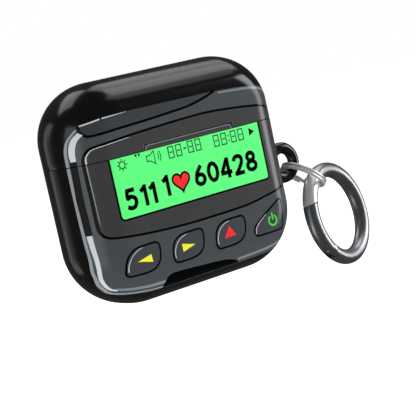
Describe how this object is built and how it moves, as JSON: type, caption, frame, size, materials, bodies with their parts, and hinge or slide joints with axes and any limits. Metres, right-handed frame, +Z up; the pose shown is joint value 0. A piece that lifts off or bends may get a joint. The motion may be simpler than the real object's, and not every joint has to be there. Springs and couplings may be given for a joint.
{
  "type": "pager-style earbud charging case",
  "caption": "Rounded hard cover printed with a pager face, around a hinged charging case with stemmed earbuds, with a carry loop, split ring and spring-gate ring.",
  "frame": {"origin": "middle of the charging cut-out in the cover's underside, level with the flat strip round it", "axes": "+Z up from the base to the lid, -Y out of the printed front face, +X to the side that carries the loop and rings"},
  "size_m": [0.0841, 0.0246, 0.0574],
  "materials": {
    "cover_black": "high gloss",
    "print_grey": "printed and clear coated",
    "print_green": "printed and clear coated",
    "print_key": "printed and clear coated",
    "adhesive": "tacky foam",
    "case_white": "gloss",
    "liner_plastic": "satin",
    "hinge_steel": "brushed",
    "pin_steel": "ground",
    "magnet": "nickel plated",
    "battery_wrap": "satin film",
    "board_green": "solder mask",
    "component_black": "matt",
    "port_steel": "satin",
    "contact_gold": "plated",
    "coil_copper": "enamelled",
    "ferrite": "matt",
    "light_guide": "clear",
    "bud_white": "gloss",
    "grille_mesh": "woven mesh",
    "driver_metal": "satin",
    "contact_metal": "polished",
    "chrome_wire": "polished",
    "gunmetal": "polished black nickel"
  },
  "bodies": {
    "base": {"cover_base": "cover_black", "base_print": "print_grey", "display_print": "print_green", "key_print": "print_key", "carry_loop": "cover_black", "case_body": "case_white", "hinge_plate": "hinge_steel", "hinge_pin": "pin_steel", "bud_tray": "liner_plastic", "body_magnets": "magnet", "battery": "battery_wrap", "main_board": "board_green", "board_components": "component_black", "charging_port": "port_steel", "charge_contacts": "contact_gold", "wireless_coil": "coil_copper", "ferrite_sheet": "ferrite", "status_light": "light_guide", "button_switch": "port_steel", "left_bud_housing": "bud_white", "left_bud_grille": "grille_mesh", "left_bud_driver": "driver_metal", "left_bud_cell": "driver_metal", "left_bud_contact": "contact_metal", "right_bud_housing": "bud_white", "right_bud_grille": "grille_mesh", "right_bud_driver": "driver_metal", "right_bud_cell": "driver_metal", "right_bud_contact": "contact_metal"},
    "lid": {"cover_lid": "cover_black", "lid_print": "print_grey", "adhesive_pads": "adhesive", "case_lid": "case_white", "hinge_leaf": "hinge_steel", "lid_liner": "liner_plastic", "lid_magnets": "magnet"},
    "button": {"pairing_button": "case_white"},
    "split_ring": {"split_ring": "chrome_wire"},
    "gate_ring": {"gate_ring": "gunmetal", "gate_pivot": "pin_steel"},
    "gate": {"ring_gate": "gunmetal", "gate_spring": "pin_steel"}
  },
  "joints": [
    {"name": "lid_hinge", "type": "hinge", "parent": "base", "child": "lid", "pos_m": [0, 0.01035, 0.03375], "axis": [-1, 0, 0], "range_deg": [0, 100]},
    {"name": "pairing_button_press", "type": "slide", "parent": "base", "child": "button", "axis": [0, -1, 0], "range_m": [0, 0.0003], "stiffness_N_per_m": 500},
    {"name": "split_ring_swing", "type": "hinge", "parent": "base", "child": "split_ring", "pos_m": [0.0325, -0.0025, 0.02075], "axis": [0.4594, 0.8412, -0.2852], "range_deg": [-40, 10]},
    {"name": "gate_ring_swing", "type": "hinge", "parent": "split_ring", "child": "gate_ring", "pos_m": [0.03946, -0.00834, 0.01473], "axis": [0.4594, 0.8412, -0.2852], "range_deg": [-20, 12]},
    {"name": "ring_gate_open", "type": "hinge", "parent": "gate_ring", "child": "gate", "pos_m": [0.03546, -0.01035, -0.00102], "axis": [-0.3121, 0.9386, -0.147], "range_deg": [0, 28], "stiffness_Nm_per_rad": 0.0005, "springref_deg": -17.19}
  ]
}
